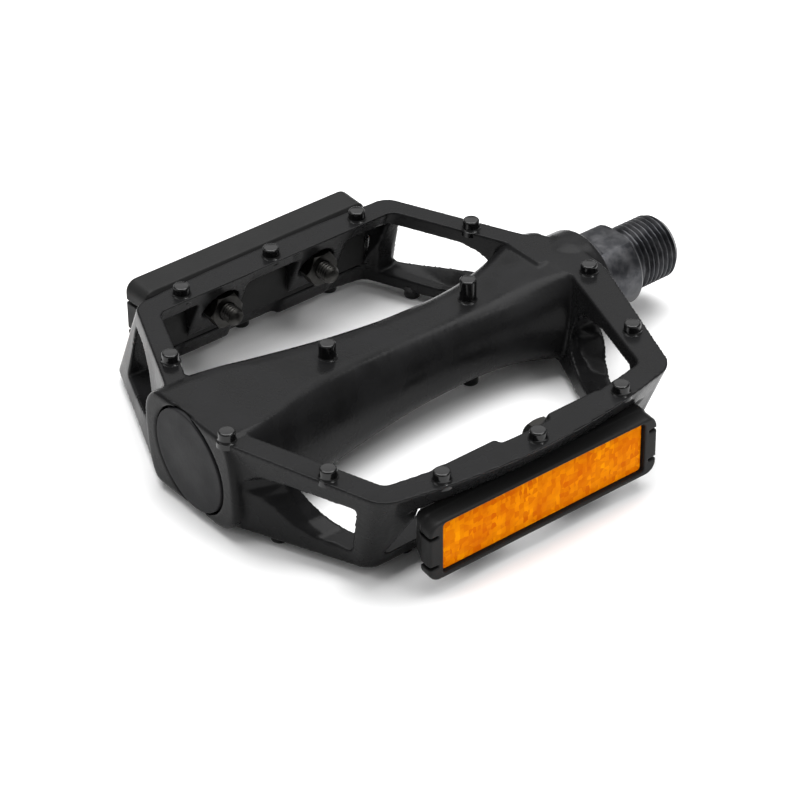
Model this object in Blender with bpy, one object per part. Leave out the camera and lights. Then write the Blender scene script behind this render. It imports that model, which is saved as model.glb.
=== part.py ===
"""Bicycle flat pedal: cast cage on a threaded spindle, with two clip-on reflectors.

Frame: origin at the centre of the spindle's threaded end face, the spindle
along Y (the crank is toward +Y), Z up, metres.  The cage is nearly the same
after half a turn about the spindle, so the rear loop and its reflector are
modelled as front ones, with their own sizes, and then turned over.
Dimensions below are millimetres; "v" is the distance along the spindle from
the middle of the cage.
"""
import math

import bmesh
import bpy
from mathutils import Matrix, Vector

MM = 0.001
CAGE_MID = -75.0            # middle of the cage along Y, from the thread's end face
HALF_H = 10.3               # top and bottom planes of the cage
GAP = 0.3                   # clearance between neighbouring pieces
FLAT_DEG = 0.05             # faces flatter than this to each other are one face

# cage outline: each loop is wide on one plane and narrow on the other, and the
# rear loop is listed as it lies when turned over.  Outer rail line at mid length and
# its bow (x = rail - v*v / bow), outer corner, the same for the inner line, the inner
# face of the lugs, the narrow plane's outer start and corner, the plane on which the
# reflector sits, the seat of its nuts, the bolts' tips, and how far the whole
# reflector stands inward of the front one.
END_OUT = -47.0             # outer end face
END_IN = 50.0               # crank end of the arms
FRONT = {
    "rail": 50.75, "bow": 260.0, "corner": (46.0, 36.05), "radius": 6.0,
    "in": 44.6, "in_bow": 282.0, "in_corner": (41.15, 31.78), "lug": 42.9,
    "low_start": (7.3, 46.5), "low_corner": (38.7, 33.3),
    "seat": 45.0, "nut_seat": 36.4, "tip": 31.0, "inward": 0.0,
    "back": ((45.3, -4.5), (47.3, -6.1)), "foot": -8.7,
}
REAR = {
    "rail": 49.5, "bow": 300.0, "corner": (47.6, 31.0), "radius": 3.0,
    "in": 44.0, "in_bow": 300.0, "in_corner": (41.3, 28.6), "lug": 42.4,
    "low_start": (7.3, 45.6), "low_corner": (37.9, 32.15),
    "seat": 39.4, "nut_seat": 37.4, "tip": 30.6, "inward": 3.9,
    "back": ((43.6, -9.0), (44.2, -9.9)), "foot": -9.9,
}
LUG_V = (6.5, 19.0)
NARROW_RAIL = 38.95
NARROW_BOW = 1060.0
NARROW_CORNER_R = 4.0
NARROW_IN = 32.6
NARROW_IN_CORNER = (32.6, 29.64)

WINDOW_TOP = 5.4            # under side of the wide bars
WINDOW_LOW = -6.8           # upper side of the narrow bars
# arm windows, between rings that follow the arm's outer face: depth under that face and
# the outline's x, z there; the corner by the barrel is a large sloping round
ARM_FACE = (13.0, 46.3, 0.33)   # x, v and slope of the arms' outer face
WINDOW_OUT = ((35.4, -6.6), (26.0, -6.4), (21.9, -4.9), (19.4, -2.7), (16.8, -1.2),
              (13.3, -0.7), (13.4, 1.6), (16.2, 3.8), (25.1, 5.1), (39.2, 5.9))
WINDOW_IN_FAR = ((35.4, -6.8), (29.0, -6.4), (25.0, -4.7), (22.6, -2.2), (21.0, 0.2),
                 (20.0, 2.4), (19.8, 4.0), (20.8, 5.4), (26.0, 6.4), (38.6, 6.4))
WINDOW_IN_NEAR = ((35.2, -6.8), (19.0, -6.8), (15.6, -5.8), (13.6, -4.6), (12.6, -2.7),
                  (12.9, -0.5), (13.8, 2.4), (17.0, 5.8), (25.0, 7.4), (38.2, 7.4))
ARM_WINDOW = {
    -1: ((-5.0, WINDOW_OUT), (1.0, WINDOW_OUT), (5.0, WINDOW_IN_FAR), (14.0, WINDOW_IN_FAR)),
    1: ((-5.0, WINDOW_OUT), (1.0, WINDOW_OUT), (5.0, WINDOW_IN_NEAR), (14.0, WINDOW_IN_NEAR)),
}

# barrel sections: v, half width, half height, flat's rear end, flat's front end
SHOULDER = 0.88             # power of sine and cosine that fills the shoulders
BARREL = (
    (-47.0, 14.4, 10.8, 7.8, 10.4),
    (-40.0, 14.4, 10.8, 7.8, 10.4),
    (-32.0, 13.5, 10.4, 7.4, 8.6),
    (-24.0, 12.2, 9.9, 5.4, 5.6),
    (-14.0, 10.5, 9.1, 4.2, 3.4),
    (-4.0, 9.2, 8.3, 3.4, 2.4),
    (8.0, 8.3, 7.65, 2.8, 1.8),
    (18.0, 8.2, 7.4, 2.8, 1.8),
    (26.0, 8.7, 7.6, 3.2, 2.2),
    (33.0, 9.9, 8.4, 4.2, 3.2),
    (39.5, 11.4, 9.6, 6.0, 5.6),
    (44.0, 12.6, 10.3, 6.8, 8.6),
    (47.0, 12.2, 10.3, 5.4, 9.2),
    (50.0, 11.2, 10.3, 2.0, 9.2),
)
HUB_R = 11.2
HUB_END = 53.5

# traction pins, cast with the cage: x, v on the top side, and on the bottom side as it
# lies when turned over
PIN_R = 1.72
PIN_TOP = 12.4
TOP_PINS = (
    (-35.2, -22.5), (-35.2, 0.0), (-35.2, 22.3),
    (46.4, -22.3), (47.85, 0.0), (46.4, 22.3),
    (-17.3, -38.2), (-17.3, 38.2),
    (10.75, -45.4), (10.75, 45.7), (32.3, -38.0), (32.3, 38.0),
    (-0.5, -12.6), (-0.4, 23.2),
)
LOW_PINS = (
    (-35.2, -22.5), (-35.2, 0.0), (-35.2, 22.3),
    (45.4, -22.3), (46.7, 0.0), (45.4, 22.3),
    (-17.6, -38.9), (-17.6, 38.9),
    (10.75, -43.4), (10.75, 45.4), (32.3, -34.6), (32.3, 34.6),
    (-0.5, -12.6), (-0.4, 23.2),
)

# bearings
CUP_R = 9.0
CUP_BORE = 9.3
BORE_R = 5.6
BALL_R = 1.5875
BALL_PITCH = 6.3
BALL_COUNT = 9
BALL_OUT = -35.5            # ball planes
BALL_IN = 46.5

# spindle
FLANGE_R = 8.7
FLANGE_V = (53.8, 63.5)
WRENCH_HALF = 7.5           # 15 mm across the flats
THREAD_R = 7.0              # 9/16 in x 20
THREAD_PITCH = 1.27
THREAD_END = 75.0

# dust cap
CAP_R = 10.2
CAP_OVAL = 0.08

# reflectors
HOUSING_V = 28.5
HOUSING_FRONT = 50.5
LENS_V = 25.0
LENS_Z = (-7.6, 3.4)
LENS_X = (48.5, 49.7)
BOLT_V = 12.3
BOLT_Z = -2.5
BOLT_R = 1.95


# ---------------------------------------------------------------- materials
def material(name, colour, roughness, metallic):
    mat = bpy.data.materials.new(name)
    mat.use_nodes = True
    shader = mat.node_tree.nodes["Principled BSDF"]
    shader.inputs["Base Color"].default_value = (*colour, 1.0)
    shader.inputs["Roughness"].default_value = roughness
    shader.inputs["Metallic"].default_value = metallic
    return mat


# ---------------------------------------------------------------- mesh tools
def add(name, verts, faces):
    """Object from (x, v, z) points, in millimetres until finish() sets its true size."""
    mesh = bpy.data.meshes.new(name)
    mesh.from_pydata(verts, [], faces)
    bm = bmesh.new()
    bm.from_mesh(mesh)
    bmesh.ops.triangulate(bm, faces=bm.faces)
    bmesh.ops.recalc_face_normals(bm, faces=bm.faces)
    bm.to_mesh(mesh)
    bm.free()
    obj = bpy.data.objects.new(name, mesh)
    bpy.context.scene.collection.objects.link(obj)
    return obj


def loft(name, rings):
    """Closed solid through rings of equal length, with its two end caps."""
    n = len(rings[0])
    verts = [p for ring in rings for p in ring]
    faces = [tuple(range(n))[::-1]]
    for k in range(len(rings) - 1):
        for i in range(n):
            j = (i + 1) % n
            faces.append((k * n + i, k * n + j, (k + 1) * n + j, (k + 1) * n + i))
    faces.append(tuple(range((len(rings) - 1) * n, len(rings) * n)))
    return add(name, verts, faces)


def turned(name, profile, sides, radius_at=None):
    """Solid of revolution about the spindle's line; profile is (v, radius)."""
    rings = []
    for v, r in profile:
        ring = []
        for i in range(sides):
            a = 2 * math.pi * i / sides
            rr = radius_at(v, r, a) if radius_at else r
            ring.append((rr * math.cos(a), v, rr * math.sin(a)))
        rings.append(ring)
    return loft(name, rings)


def tube(name, profile, sides):
    """Ring of revolution: profile is a closed loop of (v, radius)."""
    m = len(profile)
    verts, faces = [], []
    for i in range(sides):
        a = 2 * math.pi * i / sides
        for v, r in profile:
            verts.append((r * math.cos(a), v, r * math.sin(a)))
    for i in range(sides):
        j = (i + 1) % sides
        for k in range(m):
            q = (k + 1) % m
            faces.append((i * m + k, i * m + q, j * m + q, j * m + k))
    return add(name, verts, faces)


def prism(name, outline, axis, low, high):
    """Straight prism: outline in the two other axes, in x, v, z order."""
    rings = []
    for level in (low, high):
        ring = []
        for a, b in outline:
            point = [a, b]
            point.insert(axis, level)
            ring.append(tuple(point))
        rings.append(ring)
    return loft(name, rings)


def disc(radius, sides, cx=0.0, cz=0.0, turn=0.0):
    return [(cx + radius * math.cos(2 * math.pi * i / sides + turn),
             cz + radius * math.sin(2 * math.pi * i / sides + turn)) for i in range(sides)]


def bake(obj):
    graph = bpy.context.evaluated_depsgraph_get()
    mesh = bpy.data.meshes.new_from_object(obj.evaluated_get(graph))
    obj.modifiers.clear()
    obj.data = mesh
    bm = bmesh.new()
    bm.from_mesh(mesh)
    bmesh.ops.dissolve_limit(bm, angle_limit=math.radians(FLAT_DEG), verts=bm.verts, edges=bm.edges)
    bmesh.ops.triangulate(bm, faces=bm.faces)
    bm.to_mesh(mesh)
    bm.free()


def combine(base, tools, operation):
    for tool in tools:
        mod = base.modifiers.new(operation.lower(), "BOOLEAN")
        mod.operation = operation
        mod.solver = "EXACT"
        mod.object = tool
        bake(base)
        bpy.data.objects.remove(tool)
    return base


def cut(base, *tools):
    return combine(base, tools, "DIFFERENCE")


def join(base, *tools):
    return combine(base, tools, "UNION")


def turn_over(obj):
    """Turn a piece half a turn about the spindle's line."""
    obj.data.transform(Matrix.Rotation(math.pi, 4, "Y"))
    return obj


def finish(obj, mat, angle=30.0):
    """True size, place along Y, material and smooth shading."""
    obj.data.transform(Matrix.Scale(MM, 4) @ Matrix.Translation((0.0, CAGE_MID, 0.0)))
    obj.data.materials.clear()
    obj.data.materials.append(mat)
    obj.data.shade_smooth()
    obj.data.set_sharp_from_angle(angle=math.radians(angle))
    return obj


# ---------------------------------------------------------------- outlines
def fillet(corner, before, after, radius, steps):
    """Arc of steps + 1 points that rounds one corner."""
    c, p, q = Vector(corner), Vector(before), Vector(after)
    u, w = (p - c).normalized(), (q - c).normalized()
    half = math.acos(max(-1.0, min(1.0, u.dot(w)))) / 2
    centre = c + (u + w).normalized() * (radius / math.sin(half))
    start = c + u * (radius / math.tan(half)) - centre
    stop = c + w * (radius / math.tan(half)) - centre
    out = []
    for i in range(steps + 1):
        t = i / steps
        d = start * (1 - t) + stop * t
        out.append(tuple(centre + d.normalized() * radius))
    return out


RAIL_V = (-24.0, -16.0, -8.0, 0.0, 8.0, 16.0, 24.0)


def outer_outline(size, wide):
    """Outer line of a loop on its wide (top) or narrow (bottom) plane."""
    if wide:
        rail, bow, corner, radius = size["rail"], size["bow"], size["corner"], size["radius"]
        start = [(-2.0, END_OUT), (10.4, -47.06)]
        end = [(12.35, 49.4), (9.4, END_IN), (0.6, END_IN), (-2.0, 48.55)]
    else:
        rail, bow, corner, radius = NARROW_RAIL, NARROW_BOW, size["low_corner"], NARROW_CORNER_R
        x, v = size["low_start"]
        start = [(-2.0, END_OUT), (x, -v)]
        end = [(x, v), (3.35, 47.8), (-0.6, END_IN), (-2.0, END_IN)]
    line = [(rail - v * v / bow, v) for v in RAIL_V]
    low, high = (corner[0], -corner[1]), corner
    return (start + fillet(low, start[1], line[0], radius, 4) + line
            + fillet(high, line[-1], end[0], radius, 4) + end)


def inner_outline(size, wide):
    """Line of a loop's opening, with the bolt lugs standing into it."""
    def rail(v):
        return size["in"] - v * v / size["in_bow"] if wide else NARROW_IN

    if wide:
        start, corner, radius, lug = (9.75, 42.3), size["in_corner"], 2.0, size["lug"]
    else:
        start, corner, radius, lug = (8.5, 40.0), NARROW_IN_CORNER, 2.5, NARROW_IN - 0.1
    a, b = LUG_V
    half = [(rail(0.0), 0.0), (rail(a - 0.4), a - 0.4), (lug, a), (lug, b),
            (rail(b + 0.4), b + 0.4), (rail(25.0), 25.0)]
    upper = half + fillet(corner, half[-1], start, radius, 3) + [start, (-2.0, start[1])]
    lower = [(x, -v) for x, v in upper[1:]][::-1]
    return lower + upper


def slab(name, size, outline, over=0.0):
    """Solid between the wide outline on top and the narrow one below."""
    top, low = outline(size, True), outline(size, False)
    rings = []
    for z in (-HALF_H - over, HALF_H + over):
        t = (z / HALF_H + 1) / 2
        rings.append([(p[0] * (1 - t) + q[0] * t, p[1] * (1 - t) + q[1] * t, z)
                      for p, q in zip(low, top)])
    return loft(name, rings)


def barrel_values(v):
    """Section values at v, eased between the stations."""
    rows = BARREL
    for k in range(len(rows) - 1):
        if v <= rows[k + 1][0]:
            break
    a, b = rows[k], rows[k + 1]
    p = rows[k - 1] if k else a
    n = rows[k + 2] if k + 2 < len(rows) else b
    h = b[0] - a[0]
    t = max(0.0, min(1.0, (v - a[0]) / h))
    out = []
    for i in range(1, 5):
        slope = (b[i] - a[i]) / h
        before = (a[i] - p[i]) / (a[0] - p[0]) if k else slope
        after = (n[i] - b[i]) / (n[0] - b[0]) if k + 2 < len(rows) else slope
        ma = 0.0 if before * slope <= 0 else 2 * before * slope / (before + slope)
        mb = 0.0 if after * slope <= 0 else 2 * after * slope / (after + slope)
        out.append(a[i] * (2 * t**3 - 3 * t**2 + 1) + b[i] * (3 * t**2 - 2 * t**3)
                   + h * (ma * (t**3 - 2 * t**2 + t) + mb * (t**3 - t**2)))
    return out


def barrel_section(v, steps):
    """Closed section of the barrel: flat on top, rounded front shoulder, turned over below."""
    a, b, fr, ff = barrel_values(v)
    waist = -0.38 * b
    half = [(-fr, b)]
    for i in range(steps):
        t = math.pi / 2 * i / steps
        half.append((ff + (a - ff) * math.sin(t) ** SHOULDER, waist + (b - waist) * math.cos(t) ** SHOULDER))
    for i in range(steps):
        t = math.pi / 2 * i / steps
        half.append((fr + (a - fr) * math.cos(t) ** SHOULDER, waist - (b + waist) * math.sin(t) ** SHOULDER))
    return [(x, v, z) for x, z in half] + [(-x, v, -z) for x, z in half]


def cap_radius(angle, base):
    return base * (1 + CAP_OVAL * math.cos(2 * (angle - math.radians(135))))


# ---------------------------------------------------------------- cage
def arm_window(side):
    """Cutter for one arm's window, between rings that follow the arm's outer face."""
    x0, v0, slope = ARM_FACE
    return loft("arm_window", [[(x, side * (v0 - slope * (x - x0) - depth), z) for x, z in outline]
                               for depth, outline in ARM_WINDOW[side]])


def loop(name, size):
    """One half of the cage: two bars joined by posts and bolt lugs."""
    body = slab(name, size, outer_outline)
    cut(body, slab("opening", size, inner_outline, 1.0), arm_window(-1), arm_window(1))
    a, b = LUG_V
    mid = [(-a, WINDOW_LOW), (a, WINDOW_LOW), (a, WINDOW_TOP), (-a, WINDOW_TOP)]
    cut(body, prism("rail_window", mid, 0, 26.0, 56.0))
    for side in (-1, 1):
        end = [(side * b, WINDOW_LOW), (side * 31.0, WINDOW_LOW),
               (side * 26.4, WINDOW_TOP), (side * b, WINDOW_TOP)]
        cut(body, prism("rail_window", end, 0, 26.0, 56.0))
    seat = [(-HOUSING_V - 0.6, -12.0), (HOUSING_V + 0.6, -12.0),
            (HOUSING_V + 0.6, WINDOW_TOP), (-HOUSING_V - 0.6, WINDOW_TOP)]
    cut(body, prism("seat", seat, 0, size["seat"], 60.0))
    for side in (-1, 1):
        cut(body, prism("spot_face", disc(4.45, 16, side * BOLT_V, BOLT_Z), 0, 28.0, size["nut_seat"]),
            prism("bolt_hole", disc(BOLT_R + GAP, 12, side * BOLT_V, BOLT_Z), 0, 30.0, 50.0))
    return body


def cage():
    front = loop("front_loop", FRONT)
    rear = turn_over(loop("rear_loop", REAR))
    stations = [-47.0, -46.0, -40.0, -34.0, -28.0, -20.0, -12.0, -4.0, 4.0, 12.0, 20.0, 26.0, 30.0,
                34.0, 39.5, 44.0, 49.5]
    rings = []
    for v in stations:
        ring = barrel_section(v, 7)
        if v == stations[0]:
            ring = [(x * 0.98, v, z * 0.98) for x, v, z in ring]
        rings.append(ring)
    body = loft("cage_body", rings)
    join(body, front, rear)
    hub = turned("hub", [(44.0, HUB_R - 1.2), (49.2, HUB_R), (HUB_END - 0.6, HUB_R), (HUB_END, HUB_R - 0.6)], 40)
    join(body, hub)
    for turn, pins in ((1, TOP_PINS), (-1, LOW_PINS)):
        for x, v in pins:
            base = 5.0 if abs(x) < 2.0 else 8.6
            levels = [(base, PIN_R), (PIN_TOP - 0.35, PIN_R), (PIN_TOP, PIN_R - 0.35)]
            rings = [[(turn * (x + px), v + pv, turn * z) for px, pv in disc(r, 9)] for z, r in levels]
            join(body, loft("pin", rings))
    # bearing bores, from both ends, and the through bore between them
    cut(body, turned("bore_out", [(-50.0, CUP_BORE), (-31.5, CUP_BORE)], 32),
        turned("bore_in", [(42.5, CUP_BORE), (56.0, CUP_BORE)], 32),
        turned("bore", [(-33.0, BORE_R), (44.0, BORE_R)], 24),
        turned("cap_seat", [(-50.0, CAP_R + GAP), (-44.7, CAP_R + GAP)], 40,
               lambda v, r, a: cap_radius(a, r)))
    return body


def dust_cap():
    cap = turned("dust_cap", [(-47.15, CAP_R - 0.35), (-46.9, CAP_R), (-45.0, CAP_R)], 40,
                 lambda v, r, a: cap_radius(a, r))
    join(cap, tube("plug", [(-45.4, 7.6), (-45.4, CUP_R - 0.4), (-43.4, CUP_R - 0.4), (-43.4, 7.6)], 32))
    return cap


# ---------------------------------------------------------------- bearings
RACE = BALL_R + GAP
TOUCH = RACE / math.sqrt(2)


def cup(name, plane, side):
    """Pressed bearing cup; side points from the ball plane to the cup's lip."""
    top = BALL_PITCH + RACE + 0.02
    deep = (BALL_PITCH + TOUCH) - 5.9
    profile = [(-2.3, top), (TOUCH - (top - BALL_PITCH - TOUCH), top),
               (TOUCH + deep, 5.9), (TOUCH + deep + 0.6, 5.9), (TOUCH + deep + 0.6, CUP_R), (-2.3, CUP_R)]
    return tube(name, [(plane + side * v, r) for v, r in profile], 32)


def ball_ring(name, plane):
    ring = tube(name, [(plane - 0.5, BALL_PITCH - 0.45), (plane - 0.5, BALL_PITCH + 0.45),
                       (plane + 0.5, BALL_PITCH + 0.45), (plane + 0.5, BALL_PITCH - 0.45)], 18)
    for i in range(BALL_COUNT):
        a = 2 * math.pi * i / BALL_COUNT
        bm = bmesh.new()
        place = Matrix.Translation((BALL_PITCH * math.cos(a), plane, BALL_PITCH * math.sin(a)))
        bmesh.ops.create_icosphere(bm, subdivisions=2, radius=BALL_R, matrix=place)
        mesh = bpy.data.meshes.new("ball")
        bm.to_mesh(mesh)
        bm.free()
        ball = bpy.data.objects.new("ball", mesh)
        bpy.context.scene.collection.objects.link(ball)
        join(ring, ball)
    return ring


def outer_cone():
    v = BALL_OUT - TOUCH
    r = BALL_PITCH - TOUCH
    inner = 4.3
    start = v + (r - inner - 0.15)
    return tube("outer_cone", [(start, inner), (start, inner + 0.15), (v - 1.25, r + 1.25),
                               (-39.5, r + 1.25), (-39.5, inner)], 32)


def keyed_washer():
    washer = tube("keyed_washer", [(-40.8, 4.3), (-40.8, 6.4), (-39.8, 6.4), (-39.8, 4.3)], 32)
    return washer


def lock_nut():
    nut = prism("lock_nut", [(x, z) for x, z in disc(6.35, 6)], 1, -43.8, -41.1)
    nut_bore = turned("bore", [(-50.0, 4.3), (-38.0, 4.3)], 32)
    cut(nut, nut_bore)
    return nut


# ---------------------------------------------------------------- spindle
def spindle():
    sides = 24
    v = BALL_IN + TOUCH
    r = BALL_PITCH - TOUCH
    body = [(-44.4, 3.5), (-44.0, 4.0), (-33.5, 4.0), (-31.0, 4.7), (40.0, 5.0), (42.0, 4.3),
            (v - (r - 4.3), 4.3), (v + 1.3, r + 1.3), (FLANGE_V[0], r + 1.3), (FLANGE_V[0], FLANGE_R - 0.4),
            (FLANGE_V[0] + 0.4, FLANGE_R), (FLANGE_V[1] - 0.8, FLANGE_R), (FLANGE_V[1], FLANGE_R - 0.8),
            (FLANGE_V[1], THREAD_R + 0.1), (FLANGE_V[1] + 0.5, THREAD_R - 0.75), (FLANGE_V[1] + 1.2, THREAD_R - 0.75)]
    start = FLANGE_V[1] + 1.3
    rows = 3
    count = int((THREAD_END - 1.0 - start) / THREAD_PITCH * rows)
    for i in range(count + 1):
        body.append((start + i * THREAD_PITCH / rows, THREAD_R))
    body += [(THREAD_END - 0.5, THREAD_R - 0.55), (THREAD_END, THREAD_R - 1.1)]
    stop = start + count * THREAD_PITCH / rows

    def threaded(pos, radius, angle):
        if pos < start - 1e-6 or pos > stop + 1e-6:
            return radius
        phase = ((pos - start) / THREAD_PITCH - angle / (2 * math.pi)) % 1.0
        height = 1.0 - abs(2.0 * phase - 1.0)
        fade = min(1.0, (pos - start) / THREAD_PITCH + 0.001, (stop - pos) / THREAD_PITCH + 0.35)
        return radius - 0.72 + 0.72 * height * max(0.0, fade)

    shaft = turned("spindle", body, sides, threaded)
    for side in (-1, 1):
        a, b = FLANGE_V
        flat = [(-12.0, side * WRENCH_HALF), (12.0, side * WRENCH_HALF), (12.0, side * 12.0), (-12.0, side * 12.0)]
        cut(shaft, prism("flat", flat, 1, a + 1.6, b + 0.01))
    return shaft


def inner_seal():
    return tube("inner_seal", [(50.6, 6.6), (50.6, CUP_R), (53.2, CUP_R), (53.2, 6.6)], 32)


# ---------------------------------------------------------------- reflectors
def moved_in(obj, size):
    obj.data.transform(Matrix.Translation((-size["inward"], 0.0, 0.0)))
    return obj


def housing(name, size):
    heel, step = size["back"]
    foot = size["foot"]
    profile = [(heel[0], 5.0), heel, step, (step[0] + 0.2, foot), (step[0] + 0.9, foot - 0.3),
               (HOUSING_FRONT, foot - 0.3), (HOUSING_FRONT, 4.3), (48.0, 4.75)]
    body = prism(name, profile, 1, -HOUSING_V, HOUSING_V)
    # (prism takes x, z pairs around the v axis)
    pocket = [(-LENS_V - GAP, LENS_Z[0] - GAP), (LENS_V + GAP, LENS_Z[0] - GAP),
              (LENS_V + GAP, LENS_Z[1] + GAP), (-LENS_V - GAP, LENS_Z[1] + GAP)]
    cut(body, prism("pocket", pocket, 0, LENS_X[0] - GAP, 56.0))
    for side in (-1, 1):
        cut(body, prism("head_pocket", disc(3.7, 16, side * BOLT_V, BOLT_Z), 0, 46.2, 49.0),
            prism("bolt_hole", disc(BOLT_R + GAP, 12, side * BOLT_V, BOLT_Z), 0, 40.0, 47.0))
        # slits that free the snap tab of each short end
        for z in (-5.6, 1.2):
            a, b = sorted((side * (HOUSING_V - 1.6), side * (HOUSING_V + 2.0)))
            slit = [(a, z - 0.35), (b, z - 0.35), (b, z + 0.35), (a, z + 0.35)]
            cut(body, prism("slit", slit, 0, 47.0, 56.0))
    return body


def lens(name):
    a, b = LENS_Z
    c = 0.4
    outline = [(-LENS_V + c, a), (LENS_V - c, a), (LENS_V, a + c), (LENS_V, b - c),
               (LENS_V - c, b), (-LENS_V + c, b), (-LENS_V, b - c), (-LENS_V, a + c)]
    return prism(name, outline, 0, *LENS_X)


def bolt(name, size, v):
    shank = prism(name, disc(BOLT_R, 12, v, BOLT_Z), 0, size["tip"] + size["inward"], 46.8)
    join(shank, prism("head", disc(3.4, 16, v, BOLT_Z), 0, 46.5, 47.9))
    return shank


def nut(name, size, v):
    seat = size["nut_seat"] + size["inward"]
    body = prism(name, disc(4.04, 6, v, BOLT_Z), 0, seat - 3.5, seat - GAP)
    cut(body, prism("bore", disc(BOLT_R + GAP, 12, v, BOLT_Z), 0, seat - 8.0, seat + 4.0))
    return body


# ---------------------------------------------------------------- build
def build():
    for obj in list(bpy.data.objects):
        bpy.data.objects.remove(obj)

    paint = material("black_paint", (0.012, 0.012, 0.013), 0.32, 0.0)
    steel = material("black_steel", (0.055, 0.055, 0.06), 0.38, 1.0)
    bright = material("bearing_steel", (0.55, 0.55, 0.56), 0.28, 1.0)
    zinc = material("dark_zinc", (0.10, 0.10, 0.11), 0.35, 1.0)
    plastic = material("black_plastic", (0.014, 0.014, 0.015), 0.5, 0.0)
    rubber = material("black_rubber", (0.02, 0.02, 0.02), 0.75, 0.0)
    amber = material("amber", (0.85, 0.25, 0.01), 0.2, 0.0)

    finish(cage(), paint)
    finish(spindle(), steel)
    finish(dust_cap(), plastic)
    finish(inner_seal(), rubber)
    finish(cup("outer_cup", BALL_OUT, 1), bright)
    finish(cup("inner_cup", BALL_IN, -1), bright)
    finish(ball_ring("outer_ball_ring", BALL_OUT), bright, 60.0)
    finish(ball_ring("inner_ball_ring", BALL_IN), bright, 60.0)
    finish(outer_cone(), bright)
    finish(keyed_washer(), zinc)
    finish(lock_nut(), zinc)

    for end, size in (("front", FRONT), ("rear", REAR)):
        pieces = [(housing(end + "_housing", size), plastic), (lens(end + "_lens"), amber)]
        for place, v in (("outer", -BOLT_V), ("inner", BOLT_V)):
            pieces.append((bolt(f"{end}_bolt_{place}", size, v), zinc))
            pieces.append((nut(f"{end}_nut_{place}", size, v), zinc))
        for obj, mat in pieces:
            moved_in(obj, size)
            if end == "rear":
                turn_over(obj)
            finish(obj, mat)


build()
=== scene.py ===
"""Looks for the flat pedal: fine meshes, procedural materials, studio light and camera.
"""
import math

import bmesh
import bpy
from mathutils import Matrix, Vector


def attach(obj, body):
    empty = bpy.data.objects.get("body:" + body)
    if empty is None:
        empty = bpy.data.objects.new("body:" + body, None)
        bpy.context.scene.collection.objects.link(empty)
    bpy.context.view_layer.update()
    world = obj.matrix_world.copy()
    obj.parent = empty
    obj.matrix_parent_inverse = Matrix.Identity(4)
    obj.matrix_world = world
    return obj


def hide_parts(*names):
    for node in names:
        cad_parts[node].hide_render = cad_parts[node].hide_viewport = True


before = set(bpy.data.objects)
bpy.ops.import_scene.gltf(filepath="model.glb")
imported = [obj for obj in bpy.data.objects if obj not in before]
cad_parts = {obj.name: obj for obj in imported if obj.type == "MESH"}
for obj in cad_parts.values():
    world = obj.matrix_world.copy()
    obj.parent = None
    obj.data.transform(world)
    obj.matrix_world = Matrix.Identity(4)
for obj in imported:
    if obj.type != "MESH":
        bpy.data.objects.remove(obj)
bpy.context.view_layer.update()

MM = 0.001
CAGE_MID = -75.0
HALF_H = 10.3
GAP = 0.3

END_OUT = -47.0             # outer end face
END_IN = 50.0               # crank end of the arms
FRONT = {
    "rail": 50.75, "bow": 260.0, "corner": (46.0, 36.05), "radius": 6.0,
    "in": 44.6, "in_bow": 282.0, "in_corner": (41.15, 31.78), "lug": 42.9,
    "low_start": (7.3, 46.5), "low_corner": (38.7, 33.3),
    "seat": 45.0, "nut_seat": 36.4, "tip": 31.0, "inward": 0.0,
    "back": ((45.3, -4.5), (47.3, -6.1)), "foot": -8.7,
}
REAR = {
    "rail": 49.5, "bow": 300.0, "corner": (47.6, 31.0), "radius": 3.0,
    "in": 44.0, "in_bow": 300.0, "in_corner": (41.3, 28.6), "lug": 42.4,
    "low_start": (7.3, 45.6), "low_corner": (37.9, 32.15),
    "seat": 39.4, "nut_seat": 37.4, "tip": 30.6, "inward": 3.9,
    "back": ((43.6, -9.0), (44.2, -9.9)), "foot": -9.9,
}
LUG_V = (6.5, 19.0)
NARROW_RAIL = 38.95
NARROW_BOW = 1060.0
NARROW_CORNER_R = 4.0
NARROW_IN = 32.6
NARROW_IN_CORNER = (32.6, 29.64)

WINDOW_TOP = 5.4            # under side of the wide bars
WINDOW_LOW = -6.8           # upper side of the narrow bars
# arm windows, between rings that follow the arm's outer face: depth under that face and
# the outline's x, z there; the corner by the barrel is a large sloping round
ARM_FACE = (13.0, 46.3, 0.33)   # x, v and slope of the arms' outer face
WINDOW_OUT = ((35.4, -6.6), (26.0, -6.4), (21.9, -4.9), (19.4, -2.7), (16.8, -1.2),
              (13.3, -0.7), (13.4, 1.6), (16.2, 3.8), (25.1, 5.1), (39.2, 5.9))
WINDOW_IN_FAR = ((35.4, -6.8), (29.0, -6.4), (25.0, -4.7), (22.6, -2.2), (21.0, 0.2),
                 (20.0, 2.4), (19.8, 4.0), (20.8, 5.4), (26.0, 6.4), (38.6, 6.4))
WINDOW_IN_NEAR = ((35.2, -6.8), (19.0, -6.8), (15.6, -5.8), (13.6, -4.6), (12.6, -2.7),
                  (12.9, -0.5), (13.8, 2.4), (17.0, 5.8), (25.0, 7.4), (38.2, 7.4))
ARM_WINDOW = {
    -1: ((-5.0, WINDOW_OUT), (1.0, WINDOW_OUT), (5.0, WINDOW_IN_FAR), (14.0, WINDOW_IN_FAR)),
    1: ((-5.0, WINDOW_OUT), (1.0, WINDOW_OUT), (5.0, WINDOW_IN_NEAR), (14.0, WINDOW_IN_NEAR)),
}

SHOULDER = 0.88             # power of sine and cosine that fills the barrel's shoulders
WAIST = -0.38               # height of the barrel's widest line, over its half height
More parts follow.
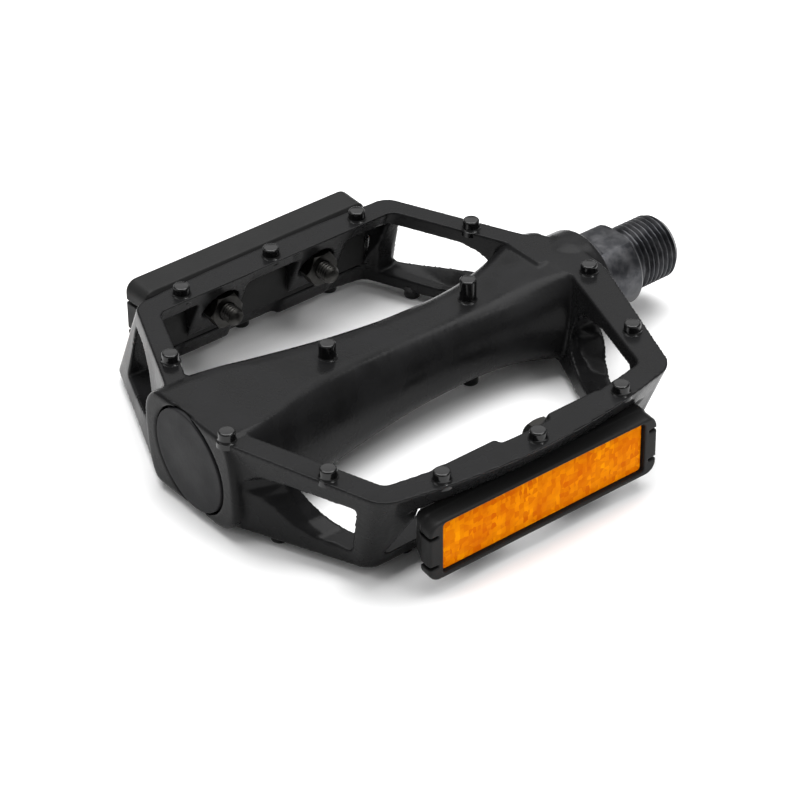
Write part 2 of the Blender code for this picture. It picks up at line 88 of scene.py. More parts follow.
# barrel sections: v, half width, half height, flat's rear end, flat's front end
BARREL = (
    (-47.0, 14.4, 10.8, 7.8, 10.4),
    (-40.0, 14.4, 10.8, 7.8, 10.4),
    (-32.0, 13.5, 10.4, 7.4, 8.6),
    (-24.0, 12.2, 9.9, 5.4, 5.6),
    (-14.0, 10.5, 9.1, 4.2, 3.4),
    (-4.0, 9.2, 8.3, 3.4, 2.4),
    (8.0, 8.3, 7.65, 2.8, 1.8),
    (18.0, 8.2, 7.4, 2.8, 1.8),
    (26.0, 8.7, 7.6, 3.2, 2.2),
    (33.0, 9.9, 8.4, 4.2, 3.2),
    (39.5, 11.4, 9.6, 6.0, 5.6),
    (44.0, 12.6, 10.3, 6.8, 8.6),
    (47.0, 12.2, 10.3, 5.4, 9.2),
    (50.0, 11.2, 10.3, 2.0, 9.2),
)
HUB_R, HUB_END = 11.2, 53.5
PIN_R, PIN_TOP, PIN_EDGE = 1.72, 12.4, 0.42
TOP_PINS = (
    (-35.2, -22.5), (-35.2, 0.0), (-35.2, 22.3),
    (46.4, -22.3), (47.85, 0.0), (46.4, 22.3),
    (-17.3, -38.2), (-17.3, 38.2),
    (10.75, -45.4), (10.75, 45.7), (32.3, -38.0), (32.3, 38.0),
    (-0.5, -12.6), (-0.4, 23.2),
)
LOW_PINS = (
    (-35.2, -22.5), (-35.2, 0.0), (-35.2, 22.3),
    (45.4, -22.3), (46.7, 0.0), (45.4, 22.3),
    (-17.6, -38.9), (-17.6, 38.9),
    (10.75, -43.4), (10.75, 45.4), (32.3, -34.6), (32.3, 34.6),
    (-0.5, -12.6), (-0.4, 23.2),
)
CUP_BORE, BORE_R = 9.3, 5.6
BALL_R, BALL_PITCH, BALL_IN = 1.5875, 6.3, 46.5
FLANGE_R, FLANGE_V, WRENCH_HALF = 8.7, (53.8, 63.5), 7.5
THREAD_R, THREAD_PITCH, THREAD_END = 7.0, 1.27, 75.0
CAP_R, CAP_OVAL, CAP_TILT = 10.2, 0.08, 135
HOUSING_V, HOUSING_FRONT = 28.5, 50.5
LENS_V, LENS_Z, LENS_X = 25.0, (-7.6, 3.4), (48.5, 49.7)
BOLT_V, BOLT_Z, BOLT_R = 12.3, -2.5, 1.95

CAGE_VOXEL = 0.38           # grain of the cast cage's surface mesh
HOUSING_VOXEL = 0.2
SMOOTHING = 0.5             # how far each smoothing pass moves a point
STATION_STEP = 1.6          # spacing of the barrel's sections
END_STEP = 0.8             # spacing of the sections beside the end face
LAST_STATION = 49.5
SPOT_FACE_R = 4.45
STUD_PITCH, STUD_DEPTH = 0.7, 0.22
HEAD_R, NUT_R, NUT_HEIGHT = 3.4, 4.04, 3.5
SLIT_Z, SLIT_HALF = (-5.6, 1.2), 0.35

CAMERA_AT = (0.4409, -0.42337, 0.38614)
CAMERA_AZIMUTH, CAMERA_ELEVATION, CAMERA_ROLL = 51.28, 34.96, -0.52
CAMERA_LENS, CAMERA_SENSOR = 154.2, 36.0
FLOOR_HALF = 4.0
WORLD_STRENGTH = 0.3
# soft boxes: name, azimuth and elevation in degrees, distance, width and height in metres, watts
SOFT_BOXES = (
    ("top_box", 231.0, 78.0, 1.5, 1.6, 1.3, 38.0),
    ("left_box", 330.0, 40.0, 1.1, 0.5, 0.8, 1.5),
    ("right_box", 100.0, 38.0, 1.1, 0.5, 0.8, 1.5),
    ("back_box", 231.0, 38.0, 1.4, 1.2, 0.5, 2.4),
    ("strip_box", 127.0, 58.0, 1.2, 0.6, 0.07, 2.0),
)


# ------------------------------------------------------------ mesh tools
def add(name, verts, faces):
    mesh = bpy.data.meshes.new(name)
    mesh.from_pydata(verts, [], faces)
    bm = bmesh.new()
    bm.from_mesh(mesh)
    bmesh.ops.triangulate(bm, faces=[f for f in bm.faces if len(f.verts) > 4])
    bmesh.ops.recalc_face_normals(bm, faces=bm.faces)
    bm.to_mesh(mesh)
    bm.free()
    obj = bpy.data.objects.new(name, mesh)
    bpy.context.scene.collection.objects.link(obj)
    return obj


def loft(name, rings):
    """Closed solid through rings of equal length, with its two end caps."""
    n = len(rings[0])
    verts = [p for ring in rings for p in ring]
    faces = [tuple(range(n))[::-1]]
    for k in range(len(rings) - 1):
        for i in range(n):
            j = (i + 1) % n
            faces.append((k * n + i, k * n + j, (k + 1) * n + j, (k + 1) * n + i))
    faces.append(tuple(range((len(rings) - 1) * n, len(rings) * n)))
    return add(name, verts, faces)


def turned(name, profile, sides, radius_at=None):
    """Solid of revolution about the spindle's line; profile is (v, radius)."""
    rings = []
    for v, r in profile:
        angles = [2 * math.pi * i / sides for i in range(sides)]
        radii = [radius_at(v, r, a) if radius_at else r for a in angles]
        rings.append([(q * math.cos(a), v, q * math.sin(a)) for q, a in zip(radii, angles)])
    return loft(name, rings)


def prism(name, outline, axis, low, high):
    """Straight prism: outline in the two other axes, in x, v, z order."""
    rings = []
    for level in (low, high):
        ring = []
        for a, b in outline:
            point = [a, b]
            point.insert(axis, level)
            ring.append(tuple(point))
        rings.append(ring)
    return loft(name, rings)


def disc(radius, sides, cx=0.0, cz=0.0):
    return [(cx + radius * math.cos(2 * math.pi * i / sides),
             cz + radius * math.sin(2 * math.pi * i / sides)) for i in range(sides)]


def bake(obj):
    graph = bpy.context.evaluated_depsgraph_get()
    mesh = bpy.data.meshes.new_from_object(obj.evaluated_get(graph))
    obj.modifiers.clear()
    obj.data = mesh
    return obj


def combine(base, tools, operation):
    for tool in tools:
        for obj in (base, tool):
            bm = bmesh.new()
            bm.from_mesh(obj.data)
            bmesh.ops.triangulate(bm, faces=bm.faces)
            bm.to_mesh(obj.data)
            bm.free()
        mod = base.modifiers.new(operation.lower(), "BOOLEAN")
        mod.operation = operation
        mod.solver = "EXACT"
        mod.object = tool
        bake(base)
        bpy.data.objects.remove(tool)
    return base


def cut(base, *tools):
    return combine(base, tools, "DIFFERENCE")


def gather(name, objs):
    """One mesh object that holds the meshes of several."""
    bm = bmesh.new()
    for obj in objs:
        bm.from_mesh(obj.data)
        bpy.data.objects.remove(obj)
    mesh = bpy.data.meshes.new(name)
    bm.to_mesh(mesh)
    bm.free()
    out = bpy.data.objects.new(name, mesh)
    bpy.context.scene.collection.objects.link(out)
    return out


def cast(obj, voxel, rounds):
    """Merges shells into one skin with the small soft edges of a casting or moulding."""
    skin = obj.modifiers.new("skin", "REMESH")
    skin.mode = "VOXEL"
    skin.voxel_size = voxel
    soft = obj.modifiers.new("soft", "SMOOTH")
    soft.factor = SMOOTHING
    soft.iterations = rounds
    return bake(obj)


def turn_over(obj):
    """Turn a piece half a turn about the spindle's line."""
    obj.data.transform(Matrix.Rotation(math.pi, 4, "Y"))
    return obj


def finish(obj, body, nodes, mat, angle=None):
    """True size and place, material, and the body and CAD nodes the piece stands for."""
    obj.data.transform(Matrix.Scale(MM, 4) @ Matrix.Translation((0.0, CAGE_MID, 0.0)))
    obj.data.materials.clear()
    obj.data.materials.append(mat)
    obj.data.shade_smooth()
    if angle is not None:
        obj.data.set_sharp_from_angle(angle=math.radians(angle))
    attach(obj, body)
    if nodes:
        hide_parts(*nodes)


# ------------------------------------------------------------ outlines
def fillet(corner, before, after, radius, steps):
    """Arc that rounds a corner between the points before and after it."""
    c, p, q = Vector(corner), Vector(before), Vector(after)
    u, w = (p - c).normalized(), (q - c).normalized()
    half = math.acos(max(-1.0, min(1.0, u.dot(w)))) / 2
    centre = c + (u + w).normalized() * (radius / math.sin(half))
    start = c + u * (radius / math.tan(half)) - centre
    stop = c + w * (radius / math.tan(half)) - centre
    out = []
    for i in range(steps + 1):
        d = start.lerp(stop, i / steps)
        out.append(tuple(centre + d.normalized() * radius))
    return out


RAIL_V = [-25.0 + 2.5 * i for i in range(21)]


def outer_outline(size, wide):
    """Outer line of a loop on its wide (top) or narrow (bottom) plane."""
    if wide:
        rail, bow, corner, radius = size["rail"], size["bow"], size["corner"], size["radius"]
        start = [(-2.0, END_OUT), (10.4, -47.06)]
        end = [(12.35, 49.4), (9.4, END_IN), (0.6, END_IN), (-2.0, 48.55)]
    else:
        rail, bow, corner, radius = NARROW_RAIL, NARROW_BOW, size["low_corner"], NARROW_CORNER_R
        x, v = size["low_start"]
        start = [(-2.0, END_OUT), (x, -v)]
        end = [(x, v), (3.35, 47.8), (-0.6, END_IN), (-2.0, END_IN)]
    line = [(rail - v * v / bow, v) for v in RAIL_V]
    low, high = (corner[0], -corner[1]), corner
    return (start + fillet(low, start[1], line[0], radius, 12) + line
            + fillet(high, line[-1], end[0], radius, 12) + end)


def inner_outline(size, wide):
    """Line of a loop's opening, with the bolt lugs standing into it."""
    def rail(v):
        return size["in"] - v * v / size["in_bow"] if wide else NARROW_IN

    if wide:
        start, corner, radius, lug = (9.75, 42.3), size["in_corner"], 2.0, size["lug"]
    else:
        start, corner, radius, lug = (8.5, 40.0), NARROW_IN_CORNER, 2.5, NARROW_IN - 0.1
    a, b = LUG_V
    half = ([(rail(v), v) for v in (0.0, 3.0, a - 0.5)] + [(lug, a + 0.1), (lug, b - 0.1)]
            + [(rail(v), v) for v in (b + 0.5, 22.0, 25.0)])
    upper = half + fillet(corner, half[-1], start, radius, 8) + [start, (-2.0, start[1])]
    lower = [(x, -v) for x, v in upper[1:]][::-1]
    return lower + upper


def slab(name, size, outline, over=0.0):
    """Solid between the wide outline on top and the narrow one below."""
    top, low = outline(size, True), outline(size, False)
    rings = []
    for z in (-HALF_H - over, HALF_H + over):
        t = (z / HALF_H + 1) / 2
        rings.append([(p[0] * (1 - t) + q[0] * t, p[1] * (1 - t) + q[1] * t, z)
                      for p, q in zip(low, top)])
    return loft(name, rings)


def barrel_values(v):
    """Section values at v, eased between the stations."""
    rows = BARREL
    for k in range(len(rows) - 1):
        if v <= rows[k + 1][0]:
            break
    a, b = rows[k], rows[k + 1]
    p = rows[k - 1] if k else a
    n = rows[k + 2] if k + 2 < len(rows) else b
    h = b[0] - a[0]
    t = max(0.0, min(1.0, (v - a[0]) / h))
    out = []
    for i in range(1, 5):
        slope = (b[i] - a[i]) / h
        before = (a[i] - p[i]) / (a[0] - p[0]) if k else slope
        after = (n[i] - b[i]) / (n[0] - b[0]) if k + 2 < len(rows) else slope
        ma = 0.0 if before * slope <= 0 else 2 * before * slope / (before + slope)
        mb = 0.0 if after * slope <= 0 else 2 * after * slope / (after + slope)
        out.append(a[i] * (2 * t**3 - 3 * t**2 + 1) + b[i] * (3 * t**2 - 2 * t**3)
                   + h * (ma * (t**3 - 2 * t**2 + t) + mb * (t**3 - t**2)))
    return out


def barrel_section(v, steps):
    """Closed section of the barrel: flat on top, rounded front shoulder, turned over below."""
    a, b, fr, ff = barrel_values(v)
    waist = WAIST * b
    half = [(-fr, b)]
    for i in range(steps):
        t = math.pi / 2 * i / steps
        half.append((ff + (a - ff) * math.sin(t) ** SHOULDER,
                     waist + (b - waist) * math.cos(t) ** SHOULDER))
    for i in range(steps):
        t = math.pi / 2 * i / steps
        half.append((fr + (a - fr) * math.cos(t) ** SHOULDER,
                     waist - (b + waist) * math.sin(t) ** SHOULDER))
    return [(x, v, z) for x, z in half] + [(-x, v, -z) for x, z in half]


def cap_radius(angle, base):
    """The cap's slightly oval line."""
    return base * (1 + CAP_OVAL * math.cos(2 * (angle - math.radians(CAP_TILT))))


# ------------------------------------------------------------ cage
def arm_window(side):
    """Cutter for one arm's window, between rings that follow the arm's outer face."""
    x0, v0, slope = ARM_FACE
    return loft("arm_window", [[(x, side * (v0 - slope * (x - x0) - depth), z) for x, z in outline]
                               for depth, outline in ARM_WINDOW[side]])


def loop(name, size):
    """One half of the cage: two bars joined by posts and bolt lugs."""
    body = slab(name, size, outer_outline)
    cut(body, slab("opening", size, inner_outline, 1.0), arm_window(-1), arm_window(1))
    a, b = LUG_V
    mid = [(-a, WINDOW_LOW), (a, WINDOW_LOW), (a, WINDOW_TOP), (-a, WINDOW_TOP)]
    cut(body, prism("rail_window", mid, 0, 26.0, 56.0))
    for side in (-1, 1):
        end = [(side * b, WINDOW_LOW), (side * 31.0, WINDOW_LOW),
               (side * 26.4, WINDOW_TOP), (side * b, WINDOW_TOP)]
        cut(body, prism("rail_window", end, 0, 26.0, 56.0))
    seat = [(-HOUSING_V - 0.6, -12.0), (HOUSING_V + 0.6, -12.0),
            (HOUSING_V + 0.6, WINDOW_TOP), (-HOUSING_V - 0.6, WINDOW_TOP)]
    cut(body, prism("seat", seat, 0, size["seat"], 60.0))
    for side in (-1, 1):
        cut(body,
            prism("spot_face", disc(SPOT_FACE_R, 48, side * BOLT_V, BOLT_Z), 0, 28.0, size["nut_seat"]),
            prism("bolt_hole", disc(BOLT_R + GAP, 32, side * BOLT_V, BOLT_Z), 0, 30.0, 50.0))
    return body


def bores():
    """Cutters for the cups, the spindle's way through and the cap's seat."""
    return (turned("bore_out", [(-50.0, CUP_BORE), (-31.5, CUP_BORE)], 96),
            turned("bore_in", [(42.5, CUP_BORE), (56.0, CUP_BORE)], 96),
            turned("bore", [(-33.0, BORE_R), (44.0, BORE_R)], 64),
            turned("cap_seat", [(-50.0, CAP_R + GAP), (-44.7, CAP_R + GAP)], 96,
                   lambda v, r, a: cap_radius(a, r)))


def cage(paint):
    """The whole casting: two loops, barrel and hub merged into one skin."""
    front = loop("front_loop", FRONT)
    rear = turn_over(loop("rear_loop", REAR))
    rings = []
    v = END_OUT
    while v <= LAST_STATION + 1e-6:
        inset = 0.975 if v == END_OUT else 1.0
        rings.append([(x * inset, v, z * inset) for x, v, z in barrel_section(v, 24)])
        v += END_STEP if v < -46.5 else STATION_STEP
    barrel = loft("barrel", rings)
    hub = turned("hub", [(44.0, HUB_R - 1.2), (49.2, HUB_R), (HUB_END - 0.6, HUB_R),
                         (HUB_END, HUB_R - 0.6)], 96)
    shells = [cut(shell, *bores()) for shell in (barrel, front, rear, hub)]
    body = cast(gather("cage_skin", shells), CAGE_VOXEL, 5)
    finish(body, "pedal_body", ["cage_body"], paint)


def traction_pins(paint):
    """Cast studs: a flared foot, a straight side and a soft-edged flat top."""
    studs = []
    for turn, pins in ((1, TOP_PINS), (-1, LOW_PINS)):
        for x, v in pins:
            foot = HALF_H
            if abs(x) < 2.0:
                foot = barrel_values(v)[1]
            profile = [(foot - 1.2, PIN_R + 0.45), (foot - 0.05, PIN_R + 0.42),
                       (foot + 0.08, PIN_R + 0.22), (foot + 0.3, PIN_R + 0.05), (foot + 0.6, PIN_R)]
            for i in range(7):
                a = math.pi / 2 * i / 6
                profile.append((PIN_TOP - PIN_EDGE + PIN_EDGE * math.sin(a),
                                PIN_R - PIN_EDGE + PIN_EDGE * math.cos(a)))
            rings = [[(turn * (x + px), v + pv, turn * z) for px, pv in disc(r, 32)]
                     for z, r in profile]
            studs.append(loft("pin", rings))
    finish(gather("traction_pins", studs), "pedal_body", [], paint, 50)


# ------------------------------------------------------------ spindle
def spindle(steel):
    """Shaft, ball seat, collar with two wrench flats, and rolled thread."""
    sides = 120
    v0 = BALL_IN + (BALL_R + GAP) / math.sqrt(2)
    r0 = BALL_PITCH - (BALL_R + GAP) / math.sqrt(2)
    shaft = turned("shaft", [(-44.4, 3.5), (-44.0, 4.0), (-33.5, 4.0), (-31.0, 4.7), (40.0, 5.0),
                             (42.0, 4.3), (v0 - (r0 - 4.3), 4.3), (v0 + 1.3, r0 + 1.3),
                             (FLANGE_V[0] + 0.6, r0 + 1.3)], 64)
    a, b = FLANGE_V
    collar = turned("collar", [(a, FLANGE_R - 0.5), (a + 0.15, FLANGE_R - 0.2), (a + 0.45, FLANGE_R),
                               (b - 0.9, FLANGE_R), (b - 0.35, FLANGE_R - 0.35), (b, FLANGE_R - 1.0),
                               (b, THREAD_R - 0.4)], sides)
    for side in (-1, 1):
        flat = [(-12.0, side * WRENCH_HALF), (12.0, side * WRENCH_HALF),
                (12.0, side * 12.0), (-12.0, side * 12.0)]
        cut(collar, prism("flat", flat, 1, a + 1.6, b + 1.0))
    edge = collar.modifiers.new("edge", "BEVEL")
    edge.width = 0.16
    edge.segments = 2
    edge.limit_method = "ANGLE"
    edge.angle_limit = math.radians(25)
    bake(collar)

    # thread: crest and root lands of a rolled 60 degree form, running out at both ends
    rows = 14
    start, stop = b + 0.9, THREAD_END - 0.15
    depth = 0.72
    profile = [(b - 0.2, THREAD_R - depth)]
    count = int((stop - start) / THREAD_PITCH * rows)
    for i in range(count + 1):
        profile.append((start + i * THREAD_PITCH / rows, THREAD_R))
    end = profile[-1][0]

    def helix(v, r, angle):
        if v < start - 1e-6:
            return r
        phase = ((v - start) / THREAD_PITCH - angle / (2 * math.pi)) % 1.0
        height = min(1.0, max(0.0, (1.0 - abs(2.0 * phase - 1.0)) * 1.35 - 0.12))
        grow = min(1.0, max(0.0, (v - start) / THREAD_PITCH))
        lead = THREAD_R - max(0.0, v - (THREAD_END - 1.3)) * 0.8
        return min(THREAD_R - depth + depth * height * grow, lead)

    profile.append((THREAD_END, THREAD_R))
    screw = turned("screw", profile, sides, helix)
    body = gather("spindle_fine", [shaft, collar, screw])
    finish(body, "spindle_set", ["spindle"], steel, 35)


def dust_cap(plastic):
    """Pressed cap: rounded rim and an almost flat field."""
    profile = [(-43.4, CAP_R - 1.2), (-45.4, CAP_R - 1.2), (-45.4, CAP_R)]
    for i in range(6):
        a = math.pi / 2 * i / 5
        profile.append((-46.85 - 0.3 * math.sin(a), CAP_R - 0.3 + 0.3 * math.cos(a)))
    profile += [(-47.15, CAP_R - 1.1), (-47.13, CAP_R * 0.6), (-47.1, CAP_R * 0.2), (-47.1, 0.05)]
    cap = turned("dust_cap_fine", profile, 128, lambda v, r, a: cap_radius(a, r))
    finish(cap, "pedal_body", ["dust_cap"], plastic, 40)


# ------------------------------------------------------------ reflectors
def rounded(half_v, low, high, radius, steps):
    """Rounded rectangle in v and z."""
    out = []
    corners = ((half_v - radius, high - radius, 0), (-half_v + radius, high - radius, 90),
               (-half_v + radius, low + radius, 180), (half_v - radius, low + radius, 270))
    for cv, cz, turn in corners:
        for i in range(steps + 1):
            a = math.radians(turn + 90 * i / steps)
            out.append((cv + radius * math.cos(a), cz + radius * math.sin(a)))
    return out


def housing(size):
    """Shallow tray for the lens, with slits that free a snap tab at each short end."""
    heel, step = size["back"]
    foot = size["foot"]
    rings = [(heel[0], 27.7, heel[1], 5.0, 1.2), (step[0], 28.1, step[1], 4.8, 1.6),
             (step[0] + 0.05, 28.3, foot - 0.1, 4.7, 2.4), (50.1, 28.5, foot - 0.3, 4.3, 2.6),
             (HOUSING_FRONT, 28.2, foot, 4.0, 2.3)]
    body = loft("housing", [[(x, v, z) for v, z in rounded(hv, lo, hi, r, 8)]
                            for x, hv, lo, hi, r in rings])
    pocket = rounded(LENS_V + GAP, LENS_Z[0] - GAP, LENS_Z[1] + GAP, 0.8, 6)
    cut(body, prism("pocket", pocket, 0, LENS_X[0] - GAP, 56.0))
    for side in (-1, 1):
        for z in SLIT_Z:
            lo, hi = sorted((side * (HOUSING_V - 2.2), side * (HOUSING_V + 2.0)))
            slit = [(lo, z - SLIT_HALF), (hi, z - SLIT_HALF), (hi, z + SLIT_HALF), (lo, z + SLIT_HALF)]
            cut(body, prism("slit", slit, 0, 46.4, 56.0))
    return cast(body, HOUSING_VOXEL, 3)


def lens():
    """Flat lens with a softened front edge."""
    a, b = LENS_Z
    rings = [(LENS_X[0], 0.0), (LENS_X[1] - 0.25, 0.0), (LENS_X[1] - 0.07, 0.08), (LENS_X[1], 0.25)]
    return loft("lens", [[(x, v, z) for v, z in rounded(LENS_V - inset, a + inset, b - inset, 0.7, 6)]
                         for x, inset in rings])


def bolt(size, v):
    """Bolt with a rolled thread, a narrower tip and a round head."""
    sides, rows = 24, 6
    tip = size["tip"] + size["inward"]
    start = tip + 0.4
    rings = [[(tip, v + y, BOLT_Z + z) for y, z in disc(BOLT_R - 0.55, sides)]]
    n = int((43.0 - start) / STUD_PITCH * rows)
    for i in range(n + 1):
        x = start + i * STUD_PITCH / rows
        ring = []
        for k in range(sides):
            a = 2 * math.pi * k / sides
            phase = ((x - start) / STUD_PITCH - k / sides) % 1.0
            r = BOLT_R - STUD_DEPTH * abs(2 * phase - 1)
            ring.append((x, v + r * math.cos(a), BOLT_Z + r * math.sin(a)))
        rings.append(ring)
    rings.append([(46.8, v + y, BOLT_Z + z) for y, z in disc(BOLT_R - 0.2, sides)])
    shank = loft("shank", rings)
    head = prism("head", disc(HEAD_R, 32, v, BOLT_Z), 0, 46.5, 47.9)
    return gather("bolt", [shank, head])


def nut(size, v):
    """Hexagon nut with chamfered corners."""
    seat = size["nut_seat"] + size["inward"]
    low, high = seat - NUT_HEIGHT, seat - GAP
    hexagon = prism("nut", disc(NUT_R, 6, v, BOLT_Z), 0, low, high)
    cone = loft("cone", [[(x, v + y, BOLT_Z + z) for y, z in disc(r, 48)]
                         for x, r in ((low, 3.5), (low + 0.5, 4.3), (high - 0.4, 4.3), (high, 3.8))])
    combine(hexagon, [cone], "INTERSECT")
    cut(hexagon, prism("bore", disc(BOLT_R + 0.12, 32, v, BOLT_Z), 0, seat - 8.0, seat + 4.0))
    return hexagon


def reflectors(plastic, amber, zinc):
    """Both reflectors with their bolts and nuts; the rear one is the front one turned over."""
    for end, size in (("front", FRONT), ("rear", REAR)):
        shapes = [("housing", housing(size), plastic, "housing_plastic", None),
                  ("lens", lens(), amber, "amber_lens", 35)]
        for place, v in (("outer", -BOLT_V), ("inner", BOLT_V)):
            shapes.append((f"bolt_{place}", bolt(size, v), zinc, "dark_zinc", 40))
            shapes.append((f"nut_{place}", nut(size, v), zinc, "dark_zinc", 25))
        for name, obj, mat, slot, angle in shapes:
            obj.name = f"{end}_{name}_fine"
            obj.data.transform(Matrix.Translation((-size["inward"], 0.0, 0.0)))
            if end == "rear":
                turn_over(obj)
            finish(obj, "pedal_body", [f"{end}_{name}"], mat, angle)


# ------------------------------------------------------------ materials
def shader(name, colour, roughness, metallic=0.0):
    """New Principled material, and the object coordinates its textures use."""
    mat = bpy.data.materials.new(name)
    mat.use_nodes = True
    nodes, links = mat.node_tree.nodes, mat.node_tree.links
    main = nodes["Principled BSDF"]
    main.inputs["Base Color"].default_value = (*colour, 1.0)
    main.inputs["Roughness"].default_value = roughness
    main.inputs["Metallic"].default_value = metallic
    where = nodes.new("ShaderNodeTexCoord")
    return mat, nodes, links, main, where.outputs["Object"]


def noise(nodes, links, where, scale, detail=4.0, rough=0.55):
    tex = nodes.new("ShaderNodeTexNoise")
    tex.inputs["Scale"].default_value = scale
    tex.inputs["Detail"].default_value = detail
    tex.inputs["Roughness"].default_value = rough
    links.new(where, tex.inputs["Vector"])
    return tex.outputs["Fac"]


def span(nodes, links, value, low, high, a=0.35, b=0.65):
    """Maps a noise value in a..b to low..high."""
    ramp = nodes.new("ShaderNodeMapRange")
    for name, number in (("From Min", a), ("From Max", b), ("To Min", low), ("To Max", high)):
        ramp.inputs[name].default_value = number
    links.new(value, ramp.inputs["Value"])
    return ramp.outputs["Result"]


def tint(nodes, links, value, low, high):
    mix = nodes.new("ShaderNodeMix")
    mix.data_type = "RGBA"
    mix.inputs[6].default_value = (*low, 1.0)
    mix.inputs[7].default_value = (*high, 1.0)
    links.new(value, mix.inputs["Factor"])
    return mix.outputs[2]


def bump(nodes, links, main, height, strength, distance):
    node = nodes.new("ShaderNodeBump")
    node.inputs["Strength"].default_value = strength
    node.inputs["Distance"].default_value = distance
    links.new(height, node.inputs["Height"])
    links.new(node.outputs["Normal"], main.inputs["Normal"])


def black_paint():
    """Black paint over die casting: orange peel and a gloss that varies a little."""
    mat, nodes, links, main, where = shader("black_paint", (0.010, 0.010, 0.011), 0.3)
    broad = noise(nodes, links, where, 90.0, 3.0)
    peel = noise(nodes, links, where, 1100.0, 3.0, 0.5)
    links.new(span(nodes, links, broad, 0.20, 0.34), main.inputs["Roughness"])
    links.new(tint(nodes, links, span(nodes, links, broad, 0.0, 1.0),
                   (0.007, 0.007, 0.0072), (0.011, 0.011, 0.0115)), main.inputs["Base Color"])
    bump(nodes, links, main, peel, 0.16, 0.0002)
    main.inputs["Specular IOR Level"].default_value = 0.09
    return mat


def pin_black_painted_shade():
    """Pins in the cage's paint, made smoother and glossier, with a deeper black that is painted shade
    for the little light the rounded pins catch.
    """
    mat, nodes, links, main, where = shader("pin_black_painted_shade", (0.004, 0.004, 0.0042), 0.16)
    broad = noise(nodes, links, where, 300.0, 3.0)
    links.new(span(nodes, links, broad, 0.12, 0.22), main.inputs["Roughness"])
    main.inputs["Specular IOR Level"].default_value = 0.35
    return mat


def black_steel():
    """Black-oxide steel with fine turning marks and worn, lighter patches."""
    mat, nodes, links, main, where = shader("black_steel", (0.05, 0.05, 0.055), 0.38, 0.9)
    stretch = nodes.new("ShaderNodeMapping")
    stretch.inputs["Scale"].default_value = (1.0, 14.0, 1.0)
    links.new(where, stretch.inputs["Vector"])
    marks = noise(nodes, links, stretch.outputs["Vector"], 420.0, 4.0, 0.6)
    patch = noise(nodes, links, where, 260.0, 4.0, 0.6)
    links.new(span(nodes, links, patch, 0.28, 0.48), main.inputs["Roughness"])
    links.new(tint(nodes, links, span(nodes, links, patch, 0.0, 1.0, 0.42, 0.72),
                   (0.035, 0.036, 0.040), (0.10, 0.10, 0.105)), main.inputs["Base Color"])
    bump(nodes, links, main, marks, 0.12, 0.0002)
    return mat


def plain_steel(name, colour, rough):
    mat, nodes, links, main, where = shader(name, colour, rough, 1.0)
    grain = noise(nodes, links, where, 900.0, 4.0)
    links.new(span(nodes, links, grain, rough - 0.08, rough + 0.1), main.inputs["Roughness"])
    bump(nodes, links, main, grain, 0.08, 0.0001)
    return mat


def moulded(name, colour, rough, grain_scale, strength):
    """Moulded black plastic or rubber: spark-eroded grain and soft sheen."""
    mat, nodes, links, main, where = shader(name, colour, rough)
    grain = noise(nodes, links, where, grain_scale, 3.0, 0.6)
    broad = noise(nodes, links, where, 120.0, 3.0)
    links.new(span(nodes, links, broad, rough - 0.07, rough + 0.08), main.inputs["Roughness"])
    main.inputs["Specular IOR Level"].default_value = 0.1
    bump(nodes, links, main, grain, strength, 0.0002)
    return mat


def amber_lens():
    """Amber over rows of small prisms; the cells' colour, lighter or darker from cell to cell, is
    painted reflection of light glinting in the prisms.
    """
    mat, nodes, links, main, where = shader("amber_lens", (0.9, 0.25, 0.006), 0.3)
    cells = nodes.new("ShaderNodeTexVoronoi")
    cells.inputs["Scale"].default_value = 880.0
    cells.inputs["Randomness"].default_value = 0.35
    links.new(where, cells.inputs["Vector"])
    patch = noise(nodes, links, where, 160.0, 2.0)
    # painted highlight: each prism cell's amber made lighter or darker, standing in for light reflected
    # in the prisms
    prism_glint_paint = nodes.new("ShaderNodeMath")
    prism_glint_paint.operation = "MULTIPLY"
    links.new(cells.outputs["Color"], prism_glint_paint.inputs[0])
    links.new(span(nodes, links, patch, 0.35, 1.0), prism_glint_paint.inputs[1])
    links.new(tint(nodes, links, prism_glint_paint.outputs[0], (0.62, 0.11, 0.0), (1.0, 0.36, 0.0)),
              main.inputs["Base Color"])
    bump(nodes, links, main, cells.outputs["Distance"], 0.25, 0.0004)
    main.inputs["Specular IOR Level"].default_value = 0.01
    return mat


def floor_paper():
    """Pale matt paper."""
    mat, nodes, links, main, where = shader("floor_paper", (0.93, 0.93, 0.93), 0.6)
    fibre = noise(nodes, links, where, 60.0, 3.0)
    shade = tint(nodes, links, span(nodes, links, fibre, 0.0, 1.0),
                 (0.92, 0.92, 0.92), (0.94, 0.94, 0.94))
    links.new(shade, main.inputs["Base Color"])
    main.inputs["Specular IOR Level"].default_value = 0.0
    return mat


# ------------------------------------------------------------ studio
def floor():
    """Floor that the lower pins stand on."""
    size, z = FLOOR_HALF, -PIN_TOP * MM
    corners = [(-size, -size, z), (size, -size, z), (size, size, z), (-size, size, z)]
    mesh = bpy.data.meshes.new("floor")
    mesh.from_pydata(corners, [], [(0, 1, 2, 3)])
    obj = bpy.data.objects.new("floor", mesh)
    mesh.materials.append(floor_paper())
    bpy.context.scene.collection.objects.link(obj)


def soft_box(name, azimuth, elevation, distance, width, height, watts):
    """Area light that looks at the pedal; azimuth and elevation are where it stands."""
    data = bpy.data.lights.new(name, "AREA")
    data.shape = "RECTANGLE"
    data.size, data.size_y = width, height
    data.energy = watts
    obj = bpy.data.objects.new(name, data)
    a, e = math.radians(azimuth), math.radians(elevation)
    at = Vector((math.sin(a) * math.cos(e), -math.cos(a) * math.cos(e), math.sin(e))) * distance
    centre = Vector((0.0, CAGE_MID * MM, 0.0))
    obj.location = centre + at
    obj.rotation_euler = (-at).to_track_quat("-Z", "Y").to_euler()
    bpy.context.scene.collection.objects.link(obj)


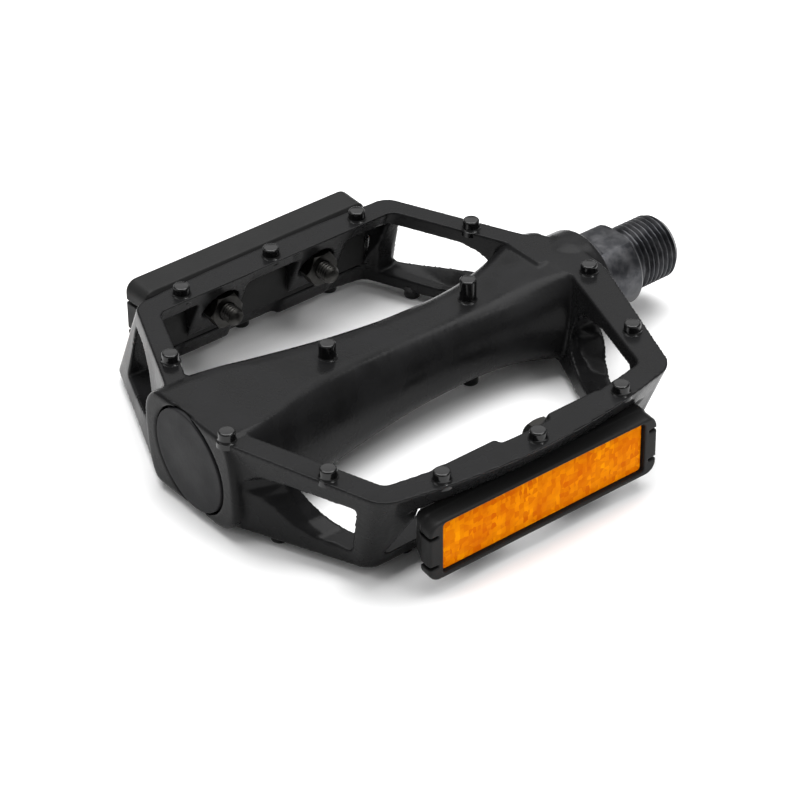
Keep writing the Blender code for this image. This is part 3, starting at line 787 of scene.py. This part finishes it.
def studio():
    world = bpy.data.worlds.new("studio")
    bpy.context.scene.world = world
    world.use_nodes = True
    background = world.node_tree.nodes["Background"]
    background.inputs["Color"].default_value = (1.0, 1.0, 1.0, 1.0)
    background.inputs["Strength"].default_value = WORLD_STRENGTH
    for box in SOFT_BOXES:
        soft_box(*box)
    bpy.context.scene.view_settings.view_transform = "Standard"
    floor()


def camera():
    data = bpy.data.cameras.new("camera")
    data.sensor_width = CAMERA_SENSOR
    data.lens = CAMERA_LENS
    data.clip_start, data.clip_end = 0.01, 20.0
    obj = bpy.data.objects.new("camera", data)
    turn = (Matrix.Rotation(math.radians(CAMERA_AZIMUTH), 4, "Z")
            @ Matrix.Rotation(math.radians(90.0 - CAMERA_ELEVATION), 4, "X")
            @ Matrix.Rotation(math.radians(CAMERA_ROLL), 4, "Z"))
    obj.matrix_world = Matrix.Translation(CAMERA_AT) @ turn
    bpy.context.scene.collection.objects.link(obj)
    bpy.context.scene.camera = obj


def carried_over(mats):
    """Materials for the CAD nodes that stay as they are, inside the cage."""
    for name, mat in mats.items():
        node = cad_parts[name]
        node.data.materials.clear()
        node.data.materials.append(mat)


def main():
    paint, steel = black_paint(), black_steel()
    zinc = plain_steel("dark_zinc", (0.035, 0.034, 0.032), 0.4)
    bright = plain_steel("bearing_steel", (0.56, 0.56, 0.57), 0.24)
    plastic = moulded("housing_plastic", (0.014, 0.014, 0.014), 0.42, 1600.0, 0.12)
    cap_plastic = moulded("cap_plastic", (0.016, 0.016, 0.017), 0.5, 2200.0, 0.15)
    rubber = moulded("seal_rubber", (0.018, 0.018, 0.018), 0.7, 1800.0, 0.2)
    cage(paint)
    traction_pins(pin_black_painted_shade())
    spindle(steel)
    dust_cap(cap_plastic)
    reflectors(plastic, amber_lens(), zinc)
    carried_over({"outer_cup": bright, "inner_cup": bright, "outer_ball_ring": bright,
                  "inner_ball_ring": bright, "outer_cone": bright, "keyed_washer": zinc,
                  "lock_nut": zinc, "inner_seal": rubber})
    studio()
    camera()


main()
